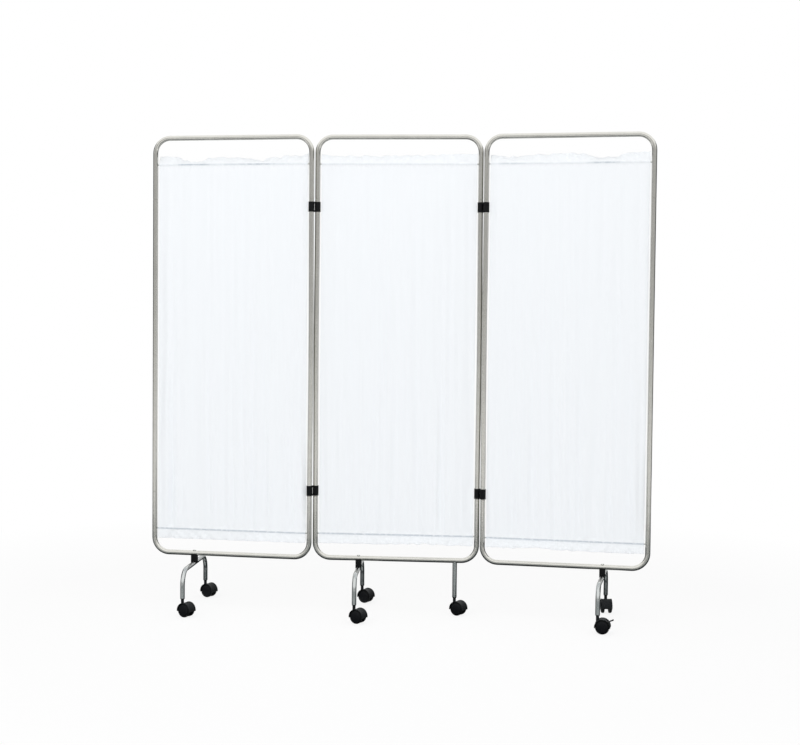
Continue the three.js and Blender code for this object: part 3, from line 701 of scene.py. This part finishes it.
# Castors. Each has a black plastic plug in the leg's end, a steel stem, a black hood with a web
# between two domed wheels, and an axle. The castors' places and turns are those of the CAD model.
castors = {
    "left_front": "left", "left_back": "left", "middle_front": "middle", "middle_back": "middle",
    "middle_end": "middle", "right_front": "right", "right_back": "right",
}
braked_castor = "right_front"
socket_flange = 0.008
socket_flange_height = 0.003
socket_taper = 0.76
socket_plug = 0.0065
socket_bore = 0.0054
socket_edge = 0.0004
axle_radius = 0.0035
# Rings of a tyre from the inner face to the seat of its disc, as (radius, place out from the web)
tyre_rings = (
    (0.0229, 0.0085), (0.02425, 0.0096), (0.02425, 0.0146), (0.0239, 0.016), (0.0232, 0.0173),
    (0.0221, 0.0183), (0.0214, 0.0186), (0.021, 0.0182), (0.021, 0.016), (0.004, 0.016),
)
# Rings of the disc that is pressed into the tyre, from its edge to the middle of its dome
disc_rings = (
    (0.0199, 0.0162), (0.0203, 0.0166), (0.0203, 0.0183), (0.0198, 0.0189), (0.0182, 0.0195),
    (0.0153, 0.0203), (0.0116, 0.0209), (0.0072, 0.0213), (0.003, 0.0215), (0.0004, 0.0215),
)
hood_radius = 0.02725
hood_drum = 0.02665
hood_width = 0.038
hood_rim_width = 0.0026
hood_skirt = 0.02046
hood_web_radius = 0.011
hood_web_width = 0.016
well_radius = 0.02545
hood_edge = 0.0006
neck_radius = 0.0055
stem_radius = 0.005
stem_top = 0.044
lever_width = 0.011
lever_length = 0.024
lever_thickness = 0.003
lever_tilt = radians(25)
lever_tip = 0.0022
lever_barrel = 0.003
lever_pin = 0.0015
lever_pin_reach = 0.0072
lever_slot_gap = 0.0003
lever_edge = 0.0005
lever_ribs = (0.5, 0.62, 0.74)
lever_rib_radius = 0.0006
hood_colours = ("#17191B", "#1F2123")
disc_colours = ("#090A0D", "#0F1115")
tyre_colours = ("#0A0B0C", "#101112")
tyre_gloss = (0.5, 0.65)

# Nylon of the hood, greyer and duller than that of the clips, because it is more coarsely eroded
hood_plastic = moulded_plastic("hood_plastic", hood_colours, tyre_gloss)
# Smooth black disc, a little glossier than the tyre round it, so that its dome catches the light
disc_plastic = moulded_plastic("wheel_disc_plastic", disc_colours, plastic_gloss)
tyre_plastic = moulded_plastic("tyre_plastic", tyre_colours, tyre_gloss)


def turned(rings, place):
    """A closed solid turned through rings of (radius, place along), stood on the axle's line."""
    bpy.ops.object.select_all(action="DESELECT")
    bpy.ops.mesh.primitive_circle_add(
        vertices=64, radius=rings[0][0], fill_type="NGON", enter_editmode=True)
    bpy.ops.transform.translate(value=(0, 0, rings[0][1]))
    for (radius, along), (wider, further) in zip(rings, rings[1:]):
        extrude_ring((0, 0, along), wider / radius, further - along)
    bpy.ops.mesh.select_all(action="SELECT")
    bpy.ops.mesh.normals_make_consistent(inside=False)
    bpy.ops.object.mode_set(mode="OBJECT")
    piece = bpy.context.object
    piece.matrix_world = Matrix.Translation(place) @ Matrix.Rotation(-pi / 2, 4, "X")
    return piece


for name, panel in castors.items():
    socket_low, socket_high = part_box(f"{name}_castor_socket")
    leg_axis = middle_of(f"{name}_castor_socket")
    axle = middle_of(f"{name}_castor_wheels")
    to_axle = (axle - leg_axis).to_2d()
    trail = to_axle.length
    place = on_floor(leg_axis, atan2(to_axle.y, to_axle.x))
    hub = (trail, 0, axle.z)
    swivel = f"{name}_castor"

    # Plug with a flange that tapers from the tube's width towards the neck of the castor
    socket_height = socket_high.z - socket_low.z
    flange_place = (0, 0, socket_low.z + socket_flange_height / 2)
    socket = cylinder(socket_flange, socket_flange_height, flange_place)
    bpy.ops.object.mode_set(mode="EDIT")
    bpy.ops.mesh.select_mode(type="VERT")
    select_points(socket, lambda p: p.z < 0)
    bpy.ops.transform.resize(value=(socket_taper, socket_taper, 1), center_override=flange_place)
    bpy.ops.object.mode_set(mode="OBJECT")
    join(socket, cylinder(socket_plug, socket_height - rod_deburr,
                          (0, 0, (socket_high.z + socket_low.z + rod_deburr) / 2)))
    cut(socket, cylinder(socket_bore, 4 * socket_height, (0, 0, socket_low.z)))
    apply_modifier(socket, "BEVEL", width=socket_edge, segments=2)
    socket.matrix_world = place @ socket.matrix_world
    fit(socket, f"{name}_socket_plug", f"{panel}_panel", "black_plastic", black_plastic,
        f"{name}_castor_socket")

    # Two tyres and their axle, with a domed disc pressed into the outer side of each
    mirror = Matrix.Scale(-1, 4, (0, 1, 0))
    tyre = turned(tyre_rings, hub)
    twin = copy_at(tyre, mirror)
    join(tyre, twin, cylinder(axle_radius, 2 * tyre_rings[-1][1] - hood_edge, hub, along_y))
    tyre.matrix_world = place @ tyre.matrix_world
    fit(tyre, f"{name}_wheel_pair", f"{name}_wheels", "castor_wheel", tyre_plastic,
        f"{name}_castor_wheels")
    disc = turned(disc_rings, hub)
    twin = copy_at(disc, place @ mirror)
    disc.matrix_world = place @ disc.matrix_world
    fit(disc, f"{name}_left_wheel_disc", f"{name}_wheels", "castor_wheel", disc_plastic)
    fit(twin, f"{name}_right_wheel_disc", f"{name}_wheels", "castor_wheel", disc_plastic)

    # Hood: a drum over the wheels with a raised rim at each end, open below and at the sides
    hood = cylinder(hood_drum, hood_width - hood_rim_width, hub, along_y, sides=72)
    rim_middle = (hood_width - hood_rim_width) / 2
    for side in (-1, 1):
        rim_place = (trail, side * rim_middle, axle.z)
        join(hood, cylinder(hood_radius, hood_rim_width, rim_place, along_y, sides=72))
    cut(hood, box((4 * hood_radius, 2 * hood_width, 2 * hood_skirt), (trail, 0, 0)))
    join(hood, cylinder(hood_web_radius, hood_web_width, hub, along_y, sides=48))
    well_depth = hood_width / 2
    for side in (-1, 1):
        well_place = (trail, side * (hood_web_width + well_depth) / 2, axle.z)
        cut(hood, cylinder(well_radius, well_depth, well_place, along_y, sides=72))
    cut(hood, cylinder(axle_radius + lever_slot_gap, hood_width, hub, along_y))
    if name == braked_castor:
        pivot = joint_places["brake_press"]
        back = (pivot - leg_axis).to_2d().length
        below = lever_barrel + lever_slot_gap
        reach = lever_length + below
        cut(
            hood,
            box((reach + below, lever_width + 2 * lever_slot_gap, reach + below),
                (back + (reach - below) / 2, 0, pivot.z + (reach - below) / 2)),
            cylinder(lever_pin + lever_slot_gap, 3 * lever_width, (back, 0, pivot.z), along_y),
        )
    apply_modifier(hood, "BEVEL", width=hood_edge, segments=2)
    neck_low, neck_high = axle.z + hood_web_radius, socket_low.z - joint_gap
    join(hood, cylinder(neck_radius, neck_high - neck_low, (0, 0, (neck_low + neck_high) / 2)))
    hood.matrix_world = place @ hood.matrix_world
    fit(hood, f"{name}_castor_hood", swivel, "black_plastic", hood_plastic,
        f"{name}_castor_body")

    stem = cylinder(stem_radius, stem_top, (0, 0, axle.z + hood_radius + stem_top / 2))
    apply_modifier(stem, "BEVEL", width=rod_deburr, segments=2)
    stem.matrix_world = place @ stem.matrix_world
    fit(stem, f"{name}_castor_stem", swivel, "bolt_steel", bright_steel)


# Brake lever. A black treadle with three ribs for the shoe, on a barrel whose pins turn in the hood
# of the right front castor. It stands up behind the hood while the brake is off.
node = f"{braked_castor}_brake_lever"
pivot = joint_places["brake_press"]
leg_axis = middle_of(f"{braked_castor}_castor_socket")
lever = cylinder(lever_barrel, lever_width, (0, 0, 0), along_y)
tread = box((lever_length, lever_width, lever_thickness), (lever_length / 2, 0, 0))
join(tread, cylinder(lever_tip, lever_width, (lever_length - lever_tip, 0, 0), along_y))
for share in lever_ribs:
    rib_place = (share * lever_length, 0, lever_thickness / 2)
    join(tread, cylinder(lever_rib_radius, lever_width, rib_place, along_y, sides=16))
apply_modifier(tread, "BEVEL", width=lever_edge, segments=2)
tread.rotation_euler.y = -lever_tilt
join(lever, tread, cylinder(lever_pin, 2 * lever_pin_reach, (0, 0, 0), along_y))
lever.matrix_world = (
    Matrix.Translation(pivot)
    @ Matrix.Rotation(atan2(pivot.y - leg_axis.y, pivot.x - leg_axis.x), 4, "Z")
    @ lever.matrix_world
)
fit(lever, "brake_treadle", "brake_lever", "black_plastic", black_plastic, node)


# Curtains. White polyester cotton, hemmed back at both ends to a casing for the rod and a ruffle
# beyond it, then gathered on the rods. Its gathers are narrow and uneven, and deeper lower down.
curtain_gap = 0.013
curtain_columns = 260
cloth_thickness = 0.0005
cloth_gather = 1.15
ruffle_reach = 0.036
hem_reach = 0.036
casing_half = 0.0058
seam_drop = 0.0345
rod_clearance = 0.0034
pinch_gap = 0.0009
ruffle_puff = 0.0022
turn_steps = 5
ruffle_rows = 12
casing_rows = 8
seam_rows = 10
sheet_rows = 74
fold_pitches = (0.021, 0.027, 0.034, 0.043, 0.058, 0.081)
fold_depths = (0.0004, 0.0009, 0.0018, 0.0023, 0.002, 0.0018)
fold_lean = 0.03
fold_drift = 0.4
wander_runs = (0.35, 0.8)
wander_ruche = 0.3
lean_ruche = 0.2
bunch_pitches = (5, 9)
bunch_share = 0.4
bunch_push = 1.3
fold_top_share = 0.3
fold_bottom_share = 1.6
fold_casing_share = 0.3
ruche_pitches = (0.0112, 0.0147, 0.019, 0.027)
ruche_depths = (0.0003, 0.0005, 0.0006, 0.0006)
ruche_run = 0.016
skirt_crease_pitches = (0.027, 0.041, 0.067)
skirt_crease_depths = (0.0013, 0.0028, 0.0036)
skirt_crease_slopes = (0.8, -1.1, 0.6)
top_lean_shares = {
    "left": ((0, 0.46), (0.07, 0.35), (0.11, 0.38), (0.165, 0.83), (0.2, 0.94), (0.27, 0.92),
             (0.335, 0.59), (0.36, 0.5), (0.59, 0.61), (0.64, 0.82), (0.7, 0.78), (0.74, 0.63),
             (0.8, 0.51), (0.9, 0.43), (0.95, 0.38), (1, 0.14)),
    "middle": ((0, 0.14), (0.05, 0.38), (0.1, 0.43), (0.45, 0.42), (0.55, 0.35), (0.7, 0.33),
               (0.85, 0.08), (1, 0.05)),
    "right": ((0, 0.38), (0.09, 0.54), (0.15, 0.59), (0.25, 0.43), (0.3, 0.31), (0.36, 0.42),
              (0.39, 0.26), (0.5, 0.21), (0.57, 0.28), (0.65, 0.66), (0.7, 0.74), (0.75, 0.74),
              (0.81, 0.55), (0.9, 0.18), (1, 0.02)),
}
hem_lean_shares = {
    "left": ((0, 0), (0.6, -0.02), (0.7, -0.25), (0.76, -0.27), (0.82, -0.17), (1, -0.22)),
    "middle": ((0, -0.17), (0.1, -0.24), (0.4, -0.24), (0.48, -0.32), (0.58, -0.44),
               (0.69, -0.49), (0.77, -0.42), (0.86, -0.32), (1, -0.41)),
    "right": ((0, -0.3), (0.08, -0.38), (0.15, -0.33), (0.25, -0.46), (0.33, -0.6),
              (0.38, -0.52), (0.44, -0.32), (0.58, -0.31), (0.69, -0.25), (0.78, -0.14),
              (1, -0.26)),
}
lean_angle = radians(88)
cloth_colour = "#F6F9FC"
# Painted shade: a grey line on the cloth over each rod, fainter at the top where the ruffle covers it
painted_rod_shade_colour = "#B9C2CB"
painted_rod_shade_width = 0.0042
painted_rod_shade_shares = {"top": 0.25, "bared": 1, "bottom": 0.95}
shade_baring_lean_shares = (0.42, 0.75)
painted_rod_shade_break = 0.018
painted_rod_shade_range = (0.15, 0.5)
weave_pitch = 0.0009
weave_depth = 0.00004
weave_strength = 0.5
weave_unevenness = 0.4
cloth_roughness = 0.9
cloth_sheen = 0.15
cloth_seeds = {"left": 11, "middle": 23, "right": 37}

# White cotton blend: rough, with a soft sheen where threads stand up, and the relief of its weave.
# Over a rod a fine grey line is painted shade of the steel seen through, broken by the gathers.
cloth, tree, shader = new_material("white_curtain_cloth")
flat_place = add_node(tree, "ShaderNodeUVMap", {}, uv_map="flat_cloth")
scaled = {}
for direction in ("X", "Y"):
    scaled[direction] = add_node(tree, "ShaderNodeTexWave", {
        "Vector": flat_place.outputs[0], "Scale": 2 * pi / (20 * weave_pitch),
        "Distortion": weave_unevenness,
    }, bands_direction=direction)
weave = add_node(tree, "ShaderNodeMath", {
    0: scaled["X"].outputs[1], 1: scaled["Y"].outputs[1]}, operation="MAXIMUM")
relief = add_node(tree, "ShaderNodeBump", {
    "Height": weave.outputs[0], "Distance": weave_depth, "Strength": weave_strength})
# Painted shade: the rod's line is mixed into the cloth's colour
rod_line_shade = add_node(tree, "ShaderNodeAttribute", {}, attribute_name="rod_line_shade")
breaks = add_node(tree, "ShaderNodeTexNoise", {
    "Vector": flat_place.outputs[0], "Scale": 1 / painted_rod_shade_break, "Detail": 3})
visible_line_shade = add_node(tree, "ShaderNodeMapRange", {
    "Value": breaks.outputs[0], "From Min": painted_rod_shade_range[0], "From Max": painted_rod_shade_range[1]})
visible_line_shade = add_node(tree, "ShaderNodeMath", {
    0: visible_line_shade.outputs[0], 1: rod_line_shade.outputs["Fac"]}, operation="MULTIPLY")
tint = add_node(tree, "ShaderNodeMix", {
    0: visible_line_shade.outputs[0], 6: colour(cloth_colour), 7: colour(painted_rod_shade_colour)},
    data_type="RGBA")
tree.links.new(tint.outputs[2], shader.inputs["Base Color"])
tree.links.new(relief.outputs[0], shader.inputs["Normal"])
shader.inputs["Roughness"].default_value = cloth_roughness
shader.inputs["Sheen Weight"].default_value = cloth_sheen


def waves(random, pitches, depths, along, height, drift, lean):
    """Waves along the cloth whose places wander and lean with height, so that no two are alike."""
    total = np.zeros_like(along)
    for pitch, depth in zip(pitches, depths):
        start, wander, swell = random.uniform(0, 2 * pi, 3)
        run = random.uniform(*wander_runs)
        shift = drift * np.sin(2 * pi * height / run + wander)
        bunch = np.sin(2 * pi * along / (pitch * random.uniform(*bunch_pitches)) + swell)
        slope = lean * random.uniform(-1, 1)
        phase = 2 * pi * (along + slope * height) / pitch + start + shift
        swelling = 1 - bunch_share + bunch_share * bunch
        total += depth * swelling * np.sin(phase + bunch_push * bunch)
    return total


def end_profile(reach):
    """The cloth at one end, as (distance beyond the rod, place across, ply): up from the seam behind
    the rod, over the edge of the ruffle and down in front of the rod to the seam again."""
    seam_run = np.linspace(-seam_drop, -casing_half, seam_rows)
    casing_run = np.linspace(-casing_half, casing_half, casing_rows + 1)[1:]
    ruffle_run = np.linspace(casing_half, reach - ruffle_puff, ruffle_rows)[1:]
    back = []
    for beyond in (*seam_run, *casing_run, *ruffle_run):
        round_rod = rod_clearance * cos(pi / 2 * min(1, abs(beyond) / casing_half))
        opened = max(0, (beyond - casing_half) / (reach - casing_half))
        half = max(pinch_gap, round_rod) + (ruffle_puff - pinch_gap) * sin(pi / 2 * opened)
        back.append((beyond, half, 1))
    edge = [(reach - ruffle_puff + ruffle_puff * sin(turn), ruffle_puff * cos(turn), cos(turn))
            for turn in np.linspace(0, pi, turn_steps + 2)[1:-1]]
    front = [(beyond, -half, -1) for beyond, half, _ in reversed(back)]
    return np.array(back + edge + front)


def hang_curtain(panel):
    """The curtain of one panel as a grid of points, from the seam behind the top rod down to the one
    behind the bottom rod. All the plies at one height share the same folds, so they never cross."""
    random = np.random.default_rng(cloth_seeds[panel])
    width = panel_width - 2 * curtain_gap
    top, bottom = end_profile(ruffle_reach), end_profile(hem_reach)[::-1]
    bottom[:, 1:] = -bottom[::-1, 1:]
    top_rod, bottom_rod = rod_heights["top"], rod_heights["bottom"]
    heights = np.linspace(top_rod - seam_drop, bottom_rod + seam_drop, sheet_rows + 2)[1:-1]
    near_end = np.minimum(top_rod - heights, heights - bottom_rod)
    hang = -pinch_gap * np.clip(2 - near_end / seam_drop, 0, 1)
    height = np.concatenate((top_rod + top[:, 0], heights, bottom_rod - bottom[:, 0]))
    across = np.concatenate((top[:, 1], hang, bottom[:, 1]))
    ply = np.concatenate((top[:, 2], -np.ones(sheet_rows), bottom[:, 2]))
    beyond = np.maximum(height - top_rod, bottom_rod - height)
    reach = np.where(height > top_rod, ruffle_reach, hem_reach)

    along = np.linspace(0, width, curtain_columns)[None, :] * np.ones((len(height), 1))
    height = height[:, None] * np.ones_like(along)
    beyond, across, ply, reach = (row[:, None] for row in (beyond, across, ply, reach))
    inside = np.clip(-beyond / (3 * seam_drop), 0, 1)
    lower = (top_rod - height) / (top_rod - bottom_rod)
    full = fold_casing_share + (1 - fold_casing_share) * inside
    deeper = (fold_bottom_share - fold_top_share) * np.clip(lower, 0, 1) ** 2
    full = full * (fold_top_share + deeper)
    folds = waves(random, fold_pitches, fold_depths, along, height, fold_drift, fold_lean) * full
    ruche = waves(
        random, ruche_pitches, ruche_depths, along, height, wander_ruche, lean_ruche)
    ruche = ruche * np.exp(-(beyond / ruche_run) ** 2)
    loose = np.clip(beyond / reach, 0, 1)
    creases = np.zeros_like(along)
    for pitch, depth, slope in zip(
            skirt_crease_pitches, skirt_crease_depths, skirt_crease_slopes):
        creases += waves(
            random, (pitch,), (depth,), along + slope * beyond, height, wander_ruche, 0)
    shared = np.clip(np.abs(beyond) / casing_half - 1, 0, 1)
    offset = across + shared * (folds + ruche + creases * loose)
    offset = offset + (1 - shared) * ply * np.abs(ruche)

    lean = np.zeros_like(along)
    for shares, end in ((top_lean_shares, height > top_rod), (hem_lean_shares, height < bottom_rod)):
        places, leans = np.array(shares[panel]).T
        smooth = np.interp(along / width, places, leans)
        lean = np.where(end, smooth * lean_angle, lean)
    free = np.maximum(beyond - casing_half, 0)
    lean = np.where(free > 0, lean, 0)
    outward = np.where(free > 0, casing_half + free * np.cos(lean) - offset * np.sin(lean), beyond)
    offset = free * np.sin(lean) + offset * np.cos(lean)
    middle = (height <= top_rod) & (height >= bottom_rod)
    ended = np.where(height > top_rod, top_rod + outward, bottom_rod - outward)
    height = np.where(middle, height, ended)
    # Where a ruffle leans well back and bares the top casing, the painted rod shade is darkest
    places, leans = np.array(top_lean_shares[panel]).T
    top_lean = np.interp(along / width, places, leans)
    top_share = np.interp(
        top_lean, shade_baring_lean_shares, (painted_rod_shade_shares["top"], painted_rod_shade_shares["bared"]))
    # Painted shade over each rod, as a share of the grey line
    rod_line_shade = np.clip(1 - np.abs(beyond) / painted_rod_shade_width, 0, 1)
    rod_line_shade = rod_line_shade * np.where(lower < 0.5, top_share, painted_rod_shade_shares["bottom"])
    return np.stack((curtain_gap + along, offset, height), axis=-1), rod_line_shade


for panel in panels:
    points, rod_line_shade = hang_curtain(panel)
    rows, columns = points.shape[:2]
    bpy.ops.object.select_all(action="DESELECT")
    bpy.ops.mesh.primitive_grid_add(x_subdivisions=columns - 1, y_subdivisions=rows - 1, size=1)
    curtain = bpy.context.object
    flat = np.empty(3 * rows * columns)
    curtain.data.vertices.foreach_get("co", flat)
    column = np.rint((flat[0::3] + 0.5) * (columns - 1)).astype(int)
    row = np.rint((0.5 - flat[1::3]) * (rows - 1)).astype(int)
    curtain.data.vertices.foreach_set("co", points[row, column].ravel())
    steps = np.linalg.norm(np.diff(points, axis=0), axis=-1).mean(axis=1)
    cloth_run = np.concatenate(((0,), np.cumsum(steps)))
    flat_size = ((panel_width - 2 * curtain_gap) * cloth_gather, cloth_run[-1])
    corners = np.empty(len(curtain.data.loops), dtype=int)
    curtain.data.loops.foreach_get("vertex_index", corners)
    flat_places = np.stack((column * flat_size[0] / (columns - 1), cloth_run[row]), axis=-1)
    curtain.data.uv_layers[0].name = "flat_cloth"
    curtain.data.uv_layers[0].data.foreach_set("uv", flat_places[corners].ravel())
    # The painted rod shade rides on the cloth as a point attribute
    shows = curtain.data.attributes.new("rod_line_shade", "FLOAT", "POINT")
    shows.data.foreach_set("value", rod_line_shade[row, column])
    apply_modifier(curtain, "SOLIDIFY", thickness=cloth_thickness, offset=0)
    curtain.matrix_world = panel_place(panel)
    fit(curtain, f"{panel}_curtain_cloth", f"{panel}_panel", "curtain_cloth", cloth,
        f"{panel}_curtain")
    bpy.ops.object.shade_smooth()
